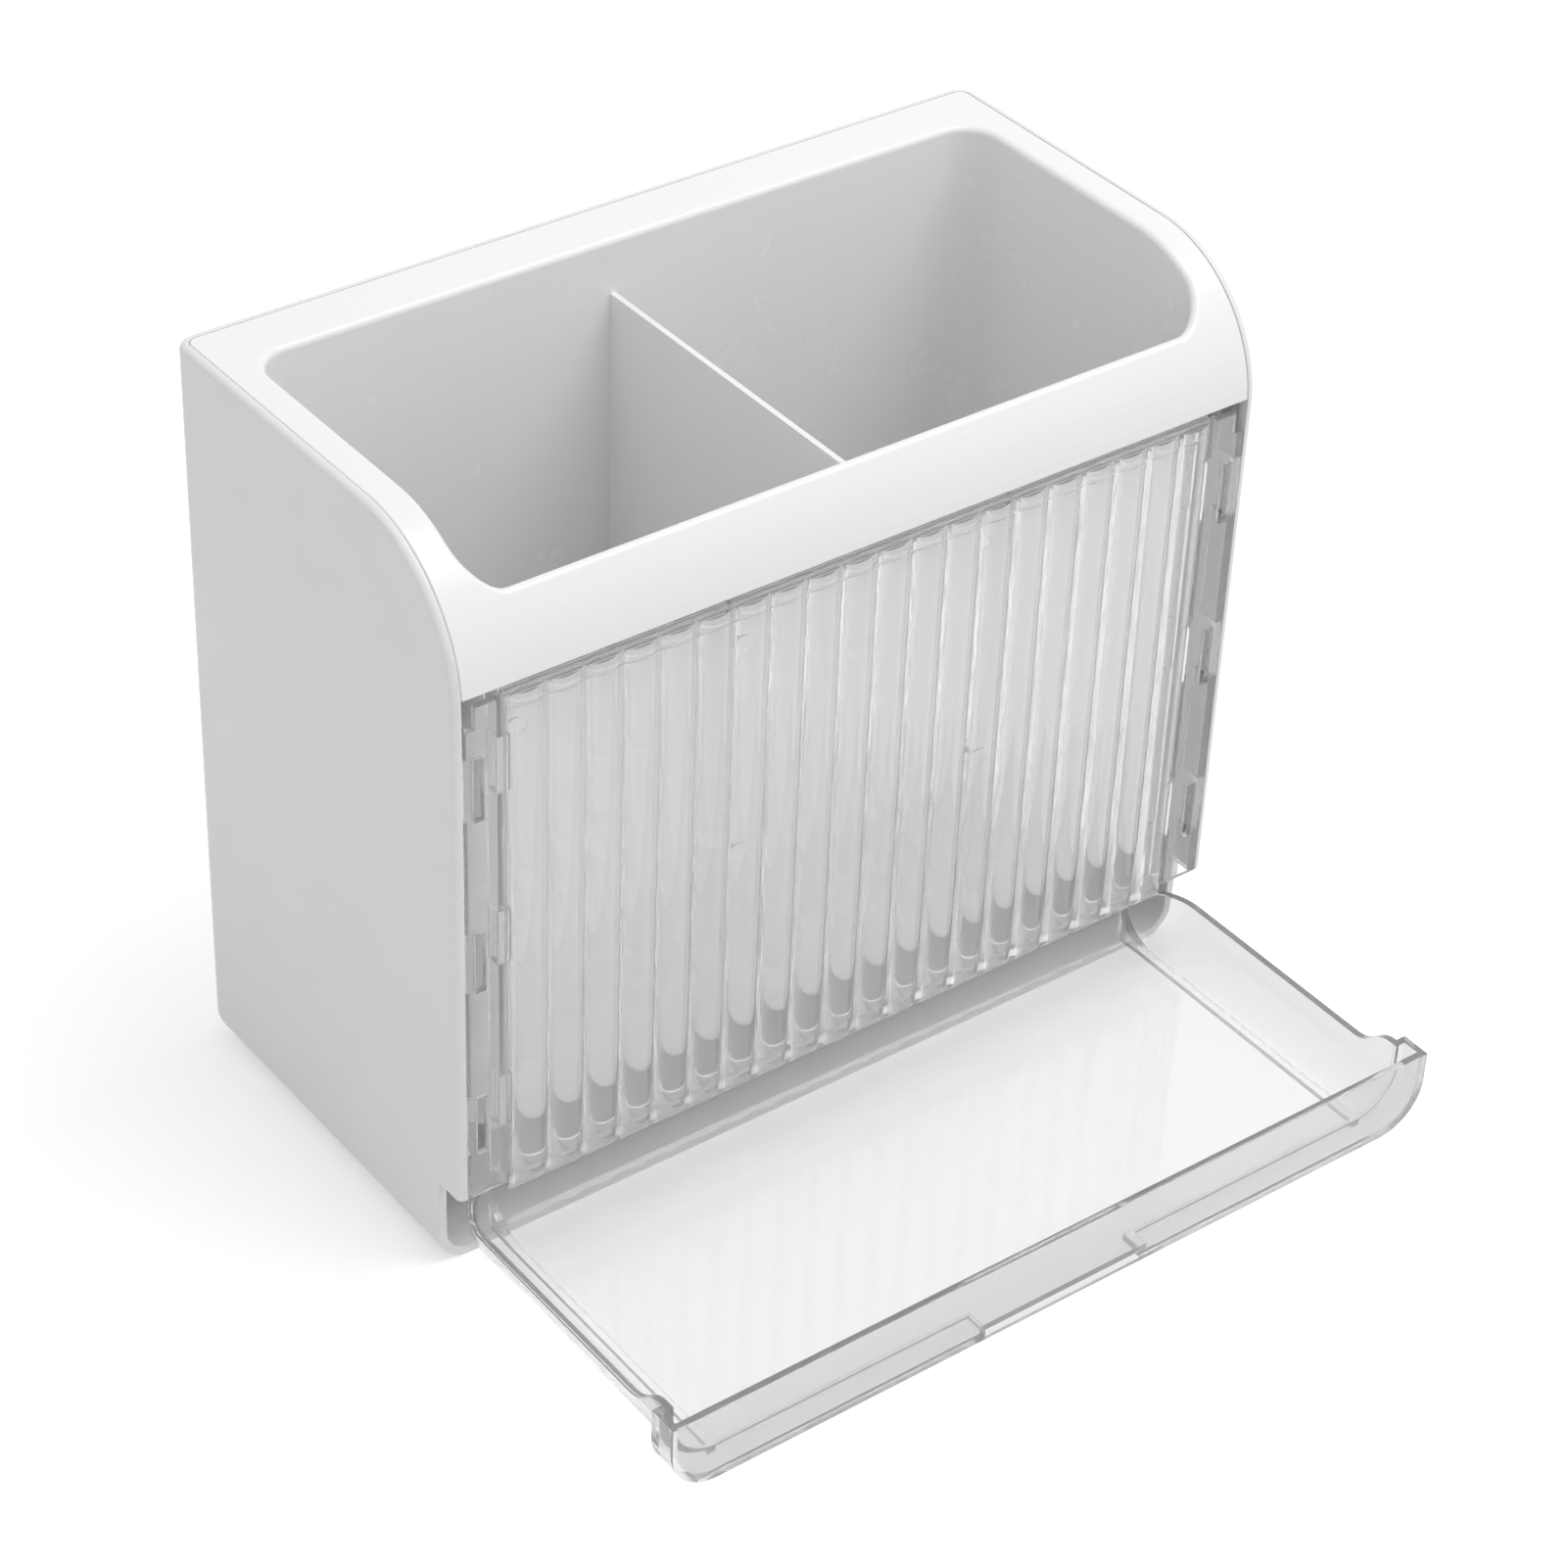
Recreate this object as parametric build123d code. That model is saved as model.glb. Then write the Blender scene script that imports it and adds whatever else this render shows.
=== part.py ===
from build123d import *
from math import asin, sin
import os

os.makedirs("parts", exist_ok=True)

# The holder is drawn standing on Z = 0, with its back on the wall plane Y = 0 and its front
# towards -Y. X = 0 is its middle. The last step moves it so that the origin is on the wall
# plane, midway between the two wall hooks.

# Body
width = 250.0
depth = 126.0
height = 221.0
wall = 2.4
front_arc_radius = 39.0
bottom_corner_radius = 10.0
back_corner_radius = 5.5
edge_rounding = 2.0
recess_depth = 10.0
recess_height = 29.0
band_height = 38.0
band_gap = 1.6

# Clearances
flange_gap = 0.2
panel_gap = 0.2
slide_gap = 0.3
hook_gap = 0.2

# Aids for drawing: what counts as the same place, how far a piece runs into the one that it is
# joined to, and how far a cut runs past what it cuts
near = 0.01
overlap = 1.0
overshoot = 10.0

# Utensil bin
flange_side = 11.5
flange_back = 18.5
flange_front = 10.0
skin = 2.2
bin_wall = 2.0
bin_front_wall = 4.4
bin_floor_level = 38.0
bin_corner_radius = 10.0
bin_bottom_rounding = 6.0
bin_draft = 0.5
rim_rounding = 1.8
flange_edge_rounding = 0.5
divider_thickness = 1.6
divider_offset = -5.2
divider_drop = 16.0
drain_slot_length = 30.0
drain_slot_width = 3.0
drain_slot_pitch = 9.0
drain_slot_rows = 7

# Ribs of the shell that carry the flange of the bin
gusset_width = 5.0
gusset_height = 14.0
gusset_thickness = 1.8
gusset_foot = 1.5
gusset_inset = 22.0
side_gussets = 3
back_gussets = 4

# Clear frame in the front opening
frame_plate = 2.0
frame_border = 14.6
frame_top_bar = 1.4
rail_height = 1.6
rail_depth = 4.0
return_thickness = 1.6
outer_return_depth = 9.0
inner_return_depth = 7.0
return_land = 1.0
latch_count = 3
latch_top = 16.8
latch_bottom = 13.8
latch_height = 18.4
latch_width = 3.0
latch_inset = 5.7
corner_notch_width = 3.6
corner_notch_height = 8.0
corner_notch_top = 1.6
lug_depth = 2.4
lug_reach = 1.4
lug_set_back = 3.6

# Fluted clear window
flute_count = 20
flute_groups = (6, 8, 6)
flute_depth = 1.6
flute_stand = 1.3
valley_radius = 1.0
window_plate = 1.7
window_slit = 0.6
window_skirt = 3.0
rib_width = 1.6
rib_depth = 2.6
rib_lift = 10.3
ledge_drop = 4.3
ledge_height = 0.8
ledge_depth = 1.0
tab_height = 16.4
tab_rise = 3.0
tab_reach = 1.2
tab_thickness = 1.2
tab_root = 2.0

# Drip tray
tray_held = 14.0
tray_rear_gap = 16.0
tray_top_gap = 0.8
tray_lift = 2.0
tray_wall = 2.0
tray_corner_radius = 14.0
fascia_depth = 9.0
fascia_riser = 6.9
trough_floor_lift = 2.3
trough_side_radius = 15.0
trough_side_height = 12.4
trough_plan_radius = 18.0
trough_swell = 14.0
finger_width = 56.0
runner_width = 2.5
runner_inset = 14.0
runner_end = 1.5
runner_heel = 10.0

# Wall hooks and their adhesive pads
hook_drop = 61.0
hook_inset = 55.0
hook_plate_side = 60.0
hook_plate_thickness = 2.2
hook_plate_corner = 6.0
pad_thickness = 1.0
pad_inset = 1.0
hook_width = 20.0
hook_stem = 3.2
hook_lip_height = 7.0
hook_lip_thickness = 2.2
hook_lip_rounding = 0.8
hook_travel = 7.6

# Levels and places worked out from the sizes above
half = width / 2
front = -depth
inner_half = half - wall
flange_half = inner_half - flange_gap
arc_start = front + front_arc_radius
window_top = height - band_height
latch_pitch = (window_top - recess_height - latch_top - latch_bottom - latch_height) / (latch_count - 1)
hook_level = height - hook_drop


def span(x0, x1, y0, y1, z0, z1):
    """A box between two corners."""
    middle = Pos((x0 + x1) / 2, (y0 + y1) / 2, (z0 + z1) / 2)
    return middle * Box(x1 - x0, y1 - y0, z1 - z0)


def mirrored(solid):
    """The solid and its mirror image in the middle plane."""
    return solid + mirror(solid, about=Plane.YZ)


def side_profile(inset, back):
    """The side outline: flat top, and a quarter arc down to a straight front."""
    radius = front_arc_radius - inset
    with BuildSketch(Plane.YZ) as sketch:
        with BuildLine():
            start = (back, 0)
            Polyline(start, (front + inset, 0), (front + inset, height - front_arc_radius))
            RadiusArc((front + inset, height - front_arc_radius), (arc_start, height - inset), radius)
            Polyline((arc_start, height - inset), (back, height - inset), start)
        make_face()
    return sketch.sketch


def side_prism(inset, back, reach):
    """The side outline made as wide as reach on each side of the middle."""
    return extrude(side_profile(inset, back), amount=reach, both=True)


def same(a, b):
    """Whether two places, or two places mirrored in the middle plane, are the same."""
    return abs(abs(a) - abs(b)) < near


def edges_at(solid, axis, x=None, y=None, z=None):
    """The edges parallel to an axis whose middle lies at the given places."""
    found = solid.edges().filter_by(axis)
    for place, key in ((x, "X"), (y, "Y"), (z, "Z")):
        if place is not None:
            found = [e for e in found if same(getattr(e.center(), key), place)]
    return found


def on_outline(point):
    """Whether a point lies on the flat top, the arc or the straight front of the side outline."""
    if point.Y > arc_start:
        return same(point.Z, height)
    if point.Z < height - front_arc_radius:
        return same(point.Y, front)
    reach = ((point.Y - arc_start) ** 2 + (point.Z - height + front_arc_radius) ** 2) ** 0.5
    return same(reach, front_arc_radius)


def outline_edges(solid):
    """The edges whose ends both lie on the side outline."""
    return [e for e in solid.edges() if all(on_outline(v) for v in e.vertices())]


def rim_edges(solid, reach, back, corner):
    """The outline's outer edges along both sides and round the corners to the back."""
    found = []
    for edge in outline_edges(solid):
        middle = edge.center()
        outside = abs(middle.X) > reach - corner or same(middle.Y, back)
        if outside and middle.Z > recess_height + near:
            found.append(edge)
    return found


def trough_section(reach, floor, top, radius):
    """The U section of a trough: flat floor, rounded lower corners, straight sides."""
    section = Pos(0, (floor + top) / 2) * Rectangle(2 * reach, top - floor)
    lower = section.vertices().group_by(Axis.Y)[0]
    return Plane.XZ * fillet(lower, radius)


def trough(reach, y0, y1, floor, top, radius):
    """A U section drawn from y0 back to y1."""
    return Pos(0, y0, 0) * extrude(trough_section(reach, floor, top, radius), amount=-(y1 - y0))


def latch_levels():
    """The top of each snap window, one above the other."""
    return [window_top - latch_top - i * latch_pitch for i in range(latch_count)]


def tab_levels():
    """The top of each snap tab of the fluted window."""
    return [level + tab_rise for level in latch_levels()]


# Outer shell: two sides, back and floor, open at the top and the front
plate_back = -pad_thickness
plate_front = plate_back - hook_plate_thickness
pocket_floor = plate_front - hook_gap
panel_inside = pocket_floor - wall
pocket_half = hook_plate_side / 2 + hook_gap
pocket_low = hook_level - hook_plate_side / 2 - hook_travel - hook_gap
pocket_high = hook_level + hook_plate_side / 2 + hook_gap
slot_high = hook_level + hook_stem / 2 + hook_gap
slot_low = slot_high - 2 * hook_gap - hook_stem - hook_travel
hook_places = (-half + hook_inset, half - hook_inset)
flange_under = height - skin


def make_shell():
    """The white casing."""
    body = side_prism(0, 0, half)
    body -= span(-half, half, front - overshoot, front + recess_depth, -overshoot, recess_height)
    body = fillet(edges_at(body, Axis.Y, x=half, z=0), bottom_corner_radius)
    body = fillet(edges_at(body, Axis.Z, x=half, y=0), back_corner_radius)
    room = span(-inner_half, inner_half, front - overshoot, -wall, wall, height + overshoot)
    room = fillet(edges_at(room, Axis.Y, x=inner_half, z=wall), bottom_corner_radius - wall)
    room = fillet(edges_at(room, Axis.Z, x=inner_half, y=-wall), back_corner_radius - wall)
    body = fillet(rim_edges(body, half, 0, back_corner_radius), edge_rounding)
    body -= room
    for place in hook_places:
        body += span(
            place - pocket_half - wall,
            place + pocket_half + wall,
            panel_inside,
            -wall / 2,
            pocket_low - wall,
            pocket_high + wall,
        )
    for place in hook_places:
        body -= span(
            place - pocket_half, place + pocket_half, pocket_floor, overshoot, pocket_low, pocket_high
        )
        body -= span(
            place - hook_width / 2 - hook_gap,
            place + hook_width / 2 + hook_gap,
            panel_inside - overshoot,
            overshoot,
            slot_low,
            slot_high,
        )
    body += side_gusset_set()
    body += back_gusset_set()
    body += lug_set()
    return body


def gusset():
    """A triangular rib against a wall on its right, with its flat top at the flange."""
    with BuildSketch(Plane.XZ) as sketch:
        with BuildLine():
            Polyline(
                (wall / 2, 0),
                (-gusset_width, 0),
                (-gusset_width, -gusset_foot),
                (0, -gusset_height),
                (wall / 2, -gusset_height),
                (wall / 2, 0),
            )
        make_face()
    return extrude(sketch.sketch, amount=gusset_thickness / 2, both=True)


def side_gusset_set():
    """Ribs along both side walls, from the back to the start of the arc."""
    run = -arc_start - 2 * gusset_inset
    ribs = []
    for i in range(side_gussets):
        y = arc_start + gusset_inset / 2 + run * i / (side_gussets - 1)
        ribs.append(mirrored(Pos(inner_half, y, flange_under) * gusset()))
    return Part() + ribs


def back_gusset_set():
    """Ribs along the back wall."""
    run = 2 * (inner_half - gusset_inset)
    ribs = []
    for i in range(back_gussets):
        x = -run / 2 + run * i / (back_gussets - 1)
        ribs.append(Pos(x, -wall, flange_under) * Rot(0, 0, 90) * gusset())
    return Part() + ribs


def lug_set():
    """Lugs on the side walls that hold the clear frame by its outer returns."""
    lugs = []
    for top in latch_levels():
        lug = span(
            inner_half - lug_reach,
            inner_half + wall / 2,
            front + lug_set_back,
            front + lug_set_back + lug_depth,
            top - latch_height + 2 * panel_gap,
            top - 2 * panel_gap,
        )
        lugs.append(mirrored(lug))
    return Part() + lugs


# Utensil bin: a flange that follows the arc down to the window, and a tub with two compartments
tub_half = half - flange_side
tub_back = -flange_back
tub_front = front + flange_front
tub_middle = (tub_back + tub_front) / 2


def tub_block(grow, front_grow, floor, top, radius):
    """A tub that narrows downwards, larger than the compartments by grow and, in front, front_grow."""
    near_side = tub_front - front_grow
    far_side = tub_back + grow
    rectangle = RectangleRounded(2 * (tub_half + grow), far_side - near_side, radius)
    mouth = Pos(0, (near_side + far_side) / 2, height) * rectangle
    block = extrude(mouth, amount=-(height - floor), taper=bin_draft)
    block = fillet(block.edges().group_by(Axis.Z)[0], bin_bottom_rounding)
    if top > height:
        block += extrude(mouth, amount=top - height)
    return block


def make_bin():
    """The white bin that drops in from the top."""
    flange_back_edge = -wall - flange_gap
    corner = back_corner_radius - wall - flange_gap
    blank = side_prism(0, flange_back_edge, flange_half)
    outside = fillet(edges_at(blank, Axis.Z, x=flange_half, y=flange_back_edge), corner)
    inside = side_prism(skin, overshoot, half)
    below = span(-half, half, front - overshoot, overshoot, -overshoot, window_top + band_gap)
    tub = tub_block(bin_wall, bin_front_wall, bin_floor_level, height, bin_corner_radius + bin_wall) & blank
    body = outside - inside - below + tub
    body -= tub_block(0, 0, bin_floor_level + bin_wall, height + overshoot, bin_corner_radius)
    mouth = [e for e in outline_edges(body) if all(abs(v.X) < tub_half + near for v in e.vertices())]
    body = fillet(mouth, rim_rounding)
    divider = span(
        divider_offset - divider_thickness / 2,
        divider_offset + divider_thickness / 2,
        tub_front - bin_wall / 2,
        tub_back + bin_wall / 2,
        bin_floor_level + bin_wall / 2,
        height - divider_drop,
    )
    body += divider & tub
    body = fillet(rim_edges(body, flange_half, flange_back_edge, corner), flange_edge_rounding)
    return body - drain_slots()


def drain_slots():
    """Rows of drain slots in the floor of both compartments."""
    cuts = []
    for middle in ((-tub_half + divider_offset) / 2, (tub_half + divider_offset) / 2):
        for side in (-1, 1):
            for i in range(drain_slot_rows):
                y = tub_middle + (i - (drain_slot_rows - 1) / 2) * drain_slot_pitch
                x = middle + side * (drain_slot_length / 2 + drain_slot_width)
                outline = Pos(x, y) * SlotOverall(drain_slot_length, drain_slot_width)
                cuts.append(extrude(outline, amount=bin_wall + 2 * overlap))
    return Pos(0, 0, bin_floor_level - overlap) * (Part() + cuts)


# Clear frame
window_front = front - flute_stand
window_back = window_front + flute_depth + window_plate
window_high = window_top - frame_top_bar - panel_gap
frame_half = inner_half - panel_gap
opening_half = half - frame_border


def frame_bar(x0, x1, depth, low, high):
    """A bar of the frame and its mirror image, from the front back by depth."""
    return mirrored(span(x0, x1, front, front + depth, low, high))


def frame_cut(x0, x1, low, high):
    """An opening through the plate of the frame and its mirror image."""
    back = front + frame_plate + overlap
    return mirrored(span(x0, x1, front - overlap, back, low, high))


def return_cut(x0, x1, depth, low, high):
    """An opening through a return, behind the plate, and its mirror image."""
    return mirrored(span(x0, x1, front + frame_plate, front + depth, low, high))


def make_frame():
    """The clear frame: side strips with snap windows and returns, a thin top bar and a low rail."""
    outer = frame_half - return_thickness
    inner = opening_half + return_thickness
    latch_half = half - latch_inset
    body = frame_bar(opening_half, frame_half, frame_plate, recess_height, window_top)
    body += frame_bar(0, opening_half + overlap, frame_plate, window_top - frame_top_bar, window_top)
    rail_front = window_back + panel_gap
    rail_top = recess_height + rail_height
    body += span(-inner, inner, rail_front, rail_front + rail_depth, recess_height, rail_top)
    body += frame_bar(outer, frame_half, outer_return_depth, recess_height, window_top)
    body += frame_bar(opening_half, inner, inner_return_depth, recess_height, window_top)
    for top in latch_levels():
        low = top - latch_height
        body -= frame_cut(latch_half - latch_width, latch_half, low, top)
        body -= return_cut(outer - overlap, half, outer_return_depth + overlap, low, top)
    for top in tab_levels():
        slot_depth = inner_return_depth - return_land
        low = top - tab_height - panel_gap
        body -= return_cut(opening_half - overlap, inner + overlap, slot_depth, low, top + panel_gap)
    high = window_top + overlap
    body -= frame_cut(frame_half - corner_notch_width, half, window_top - corner_notch_height, high)
    body -= frame_cut(inner, half, window_top - corner_notch_top, high)
    return body


# Fluted window
flute_half = opening_half - window_slit
window_low = recess_height - window_skirt


def flute_outline():
    """The window's section: a flat back, and convex arcs in front with small round valleys between."""
    half_pitch = flute_half / flute_count
    reach = (half_pitch ** 2 + flute_depth ** 2) / (2 * flute_depth)
    radius = reach - valley_radius
    turn = asin(half_pitch / reach)
    arc_end = radius * sin(turn)
    arc_back = window_front + radius - (radius ** 2 - arc_end ** 2) ** 0.5
    valley = window_front + flute_depth
    with BuildSketch(Plane.XY) as sketch:
        with BuildLine():
            for i in range(flute_count):
                middle = (2 * i + 1) * half_pitch - flute_half
                left = (middle - arc_end, arc_back)
                right = (middle + arc_end, arc_back)
                ThreePointArc(left, (middle, window_front), right)
                if i < flute_count - 1:
                    next_left = (middle + 2 * half_pitch - arc_end, arc_back)
                    ThreePointArc(right, (middle + half_pitch, valley), next_left)
            Polyline(
                (flute_half - half_pitch + arc_end, arc_back),
                (flute_half, arc_back),
                (flute_half, window_back),
                (-flute_half, window_back),
                (-flute_half, arc_back),
                (half_pitch - flute_half - arc_end, arc_back),
            )
        make_face()
    return sketch.sketch


def make_window():
    """The clear fluted window, with ribs between its groups of flutes and snap tabs."""
    body = Pos(0, 0, window_low) * extrude(flute_outline(), amount=window_high - window_low)
    bevel = flute_depth * 2 ** 0.5
    body -= Pos(0, window_front, window_low) * Rot(45, 0, 0) * Box(width, bevel, bevel)
    root_front = window_back - window_plate / 2
    ledge_top = window_high - ledge_drop
    body += span(
        -flute_half,
        flute_half,
        root_front,
        window_back + ledge_depth,
        ledge_top - ledge_height,
        ledge_top,
    )
    at = 0
    for group in flute_groups[:-1]:
        at += group
        x = (2 * at / flute_count - 1) * flute_half
        body += span(
            x - rib_width / 2,
            x + rib_width / 2,
            root_front,
            window_back + rib_depth,
            window_low + rib_lift,
            window_high,
        )
    tab_front = window_back + panel_gap
    tab_back = tab_front + tab_thickness
    tab_inside = flute_half - tab_root
    for top in tab_levels():
        low = top - tab_height
        root = span(tab_inside, flute_half, root_front, tab_back, low, top)
        tab = span(tab_inside, opening_half + tab_reach, tab_front, tab_back, low, top)
        body += mirrored(root + tab)
    return body


# Drip tray
tray_length = depth - wall - tray_rear_gap
tray_height = recess_height - window_skirt - tray_lift - tray_top_gap
tray_out = tray_length - tray_held
tray_front = front - tray_out
trough_back = tray_front + tray_length
trough_half = inner_half - 2 * slide_gap
floor_under = tray_lift + trough_floor_lift
floor_top = floor_under + tray_wall
trough_top = floor_top + trough_side_height
fascia_top = tray_lift + tray_height
finger_half = finger_width / 2


def trough_block(reach, y0, y1, floor, radius, plan_radius):
    """A pan with rounded bottom edges and rounded rear corners."""
    block = span(-reach, reach, y0, y1, floor, fascia_top + overshoot)
    block = fillet(edges_at(block, Axis.Z, x=reach, y=y1), plan_radius)
    lower = [e for e in block.edges() if same(e.center().Z, floor) and e.center().Y > y0 + near]
    return fillet(lower, radius)


def tray_top_cut():
    """What is taken off the top: level over the trough, and an S curve up to the fascia."""
    y0 = tray_front + fascia_depth
    y2 = y0 + trough_swell
    y1 = (y0 + y2) / 2
    z1 = (fascia_top + trough_top) / 2
    high = fascia_top + 2 * overshoot
    with BuildSketch(Plane.YZ) as sketch:
        with BuildLine():
            Spline((y0, fascia_top), (y1, z1), (y2, trough_top), tangents=((1, 0), (1, 0)))
            Polyline(
                (y2, trough_top),
                (trough_back + overshoot, trough_top),
                (trough_back + overshoot, high),
                (tray_front - overshoot, high),
                (tray_front - overshoot, fascia_top),
                (y0, fascia_top),
            )
        make_face()
    return extrude(sketch.sketch, amount=half + overshoot, both=True)


def make_tray():
    """The clear drip tray: a fascia as wide as the body, and a trough that slides inside it."""
    fascia_back = tray_front + fascia_depth
    riser = tray_front + fascia_riser
    inside_front = tray_front + tray_wall
    inside_half = half - tray_wall
    tall = fascia_top + overshoot
    body = trough(half, tray_front, fascia_back, tray_lift, tall, tray_corner_radius)
    body += trough_block(
        trough_half, inside_front, trough_back, floor_under, trough_side_radius, trough_plan_radius
    )
    runner = span(
        trough_half - runner_inset - runner_width / 2,
        trough_half - runner_inset + runner_width / 2,
        fascia_back,
        trough_back - runner_end,
        wall + slide_gap,
        floor_under + runner_heel,
    )
    body += mirrored(runner)
    gutter_floor = tray_lift + tray_wall
    body -= trough(inside_half, inside_front, riser, gutter_floor, tall, tray_corner_radius - tray_wall)
    body += span(-finger_half, finger_half, inside_front - overlap, fascia_back, tray_lift, floor_top)
    body -= trough_block(
        trough_half - tray_wall,
        riser - overlap,
        trough_back - tray_wall,
        floor_top,
        trough_side_radius - tray_wall,
        trough_plan_radius - tray_wall,
    )
    body -= span(
        tray_wall - finger_half,
        finger_half - tray_wall,
        inside_front,
        fascia_back + overlap,
        tray_lift - overlap,
        floor_under,
    )
    return body - tray_top_cut()


# Wall hooks and pads
def make_hook(place):
    """A square plate with one hook that points up behind the shell's back panel."""
    plate_half = hook_plate_side / 2
    body = span(
        place - plate_half,
        place + plate_half,
        plate_front,
        plate_back,
        hook_level - plate_half,
        hook_level + plate_half,
    )
    body = fillet(body.edges().filter_by(Axis.Y), hook_plate_corner)
    lip_back = panel_inside - hook_gap
    lip_front = lip_back - hook_lip_thickness
    stem_low = hook_level - hook_stem / 2
    stem_high = hook_level + hook_stem / 2
    left = place - hook_width / 2
    right = place + hook_width / 2
    stem = span(left, right, lip_front, plate_front + overlap, stem_low, stem_high)
    lip = span(left, right, lip_front, lip_back, stem_low, stem_high + hook_lip_height)
    lip = fillet(lip.edges().filter_by(Axis.X).group_by(Axis.Z)[-1], hook_lip_rounding)
    return body + stem + lip


def make_pad(place):
    """The adhesive pad on the wall side of a hook plate."""
    pad_half = hook_plate_side / 2 - pad_inset
    pad = span(
        place - pad_half,
        place + pad_half,
        plate_back,
        0,
        hook_level - pad_half,
        hook_level + pad_half,
    )
    return fillet(pad.edges().filter_by(Axis.Y), hook_plate_corner - pad_inset)


pieces = {
    "outer_shell": make_shell(),
    "utensil_bin": make_bin(),
    "front_frame": make_frame(),
    "fluted_window": make_window(),
    "drip_tray": make_tray(),
}
for name, place in zip(("left", "right"), hook_places):
    pieces[f"wall_hook_{name}"] = make_hook(place)
    pieces[f"adhesive_pad_{name}"] = make_pad(place)

for name, piece in pieces.items():
    export_step(Pos(0, 0, -hook_level) * piece, f"parts/{name}.step")
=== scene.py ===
"""Wall-mounted utensil holder: casing, drop-in bin, clear fluted front and pull-out tray."""
import math

import bmesh
import bpy
from bpy.props import FloatProperty, FloatVectorProperty, IntProperty, PointerProperty
from mathutils import Matrix, Vector


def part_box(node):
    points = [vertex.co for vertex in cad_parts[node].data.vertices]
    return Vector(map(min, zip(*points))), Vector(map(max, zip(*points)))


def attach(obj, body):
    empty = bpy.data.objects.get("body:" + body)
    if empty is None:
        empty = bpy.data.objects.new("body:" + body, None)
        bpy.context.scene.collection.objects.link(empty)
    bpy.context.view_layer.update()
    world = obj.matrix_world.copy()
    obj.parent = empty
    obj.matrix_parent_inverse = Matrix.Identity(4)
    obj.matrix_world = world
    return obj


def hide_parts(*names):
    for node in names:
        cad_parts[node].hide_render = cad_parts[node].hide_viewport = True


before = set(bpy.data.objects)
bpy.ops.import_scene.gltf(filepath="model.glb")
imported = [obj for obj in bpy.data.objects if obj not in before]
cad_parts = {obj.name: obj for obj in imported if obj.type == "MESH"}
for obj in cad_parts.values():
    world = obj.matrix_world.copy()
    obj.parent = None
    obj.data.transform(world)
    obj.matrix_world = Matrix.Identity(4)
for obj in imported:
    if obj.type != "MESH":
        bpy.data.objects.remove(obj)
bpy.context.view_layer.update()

bl_info = {
    "name": "Utensil Holder",
    "version": (1, 0, 0),
    "blender": (4, 5, 0),
    "location": "3D View > Sidebar > Holder",
    "description": "Builds a wall-mounted utensil holder around its CAD frame",
    "category": "Add Mesh",
}

MM = 0.001
WELD = 0.002 * MM
FLAT_ANGLE = math.radians(0.3)
SHARP_ANGLE = math.radians(38)
EDGE_STEPS = 2
NORMAL_WEIGHT = 50
FLUTE_STEPS = 32
PIN_SIDES = 32
PIN_RELIEF = 0.5 * MM

CASING_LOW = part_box("outer_shell")[0]
FRAME_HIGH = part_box("front_frame")[1]
WINDOW_LOW, WINDOW_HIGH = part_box("fluted_window")
FLOOR_LEVEL = CASING_LOW.z

# Where the mould's ejector pins marked the window: across from the left face, down from its top.
WINDOW_PINS = ((85.8, 13.8), (85.9, 78.0), (163.9, 80.0), (18.9, 12.0), (160.3, 12.0))

# The satin casing's grain and clouding, the bin's dust and ripples, the clear pieces' ripples and the
# cells of the foam: noise scales, and depths of relief.
GRAIN_SCALE = 2600.0
GRAIN_DEPTH = 0.012 * MM
CLOUD_SCALE = 9.0
CLOUD_SHADE = 0.985
SATIN_SCALE = 55.0
SATIN_SPREAD = 0.04
DUST_SCALE = 60.0
DUST_RADIUS = 0.022
DUST_STRENGTH = 0.12
DUST_COLOUR = (0.30, 0.29, 0.28, 1.0)
BIN_RIPPLE_SCALE = 70.0
BIN_RIPPLE_DEPTH = 0.05 * MM
CLEAR_RIPPLE_SCALE = 45.0
FRONT_RIPPLE = 0.02 * MM
TRAY_RIPPLE = 0.03 * MM
FOAM_CELL_SCALE = 2200.0
FOAM_CELL_DEPTH = 0.1 * MM
FOAM_SHADE = 0.94

WHITE = (1.0, 1.0, 1.0, 1.0)
FLOOR_REACH = 6.0

# Each lamp's place, the point that it faces and its diameter.
KEY_LAMP = ((0.5, -0.5, 1.5), (0.0, -0.06, -0.02), 1.3)
FRONT_LAMP = ((0.3, -1.6, 0.5), (0.0, -0.1, -0.05), 1.2)

# The camera's own axes in the holder's frame.
CAMERA_RIGHT = Vector((0.80173, -0.596698, 0.034348))
CAMERA_UP = Vector((0.333244, 0.493978, 0.803078))
CAMERA_PLACE = Vector((-0.55927, -0.80544, 0.60014))
CAMERA_LENS = 97.54
SENSOR = 36.0


def length(name, description, default):
    """A length setting in metres."""
    return FloatProperty(
        name=name, description=description, default=default, min=0, unit="LENGTH", precision=5
    )


def colour(name, description, default):
    """A colour setting."""
    return FloatVectorProperty(
        name=name, description=description, default=default, size=3, min=0, max=1, subtype="COLOR"
    )


def share(name, description, default):
    """A setting between nothing and all."""
    return FloatProperty(name=name, description=description, default=default, min=0, max=1, subtype="FACTOR")


def ratio(name, description, default):
    """A setting of one or more."""
    return FloatProperty(name=name, description=description, default=default, min=1)


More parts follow.
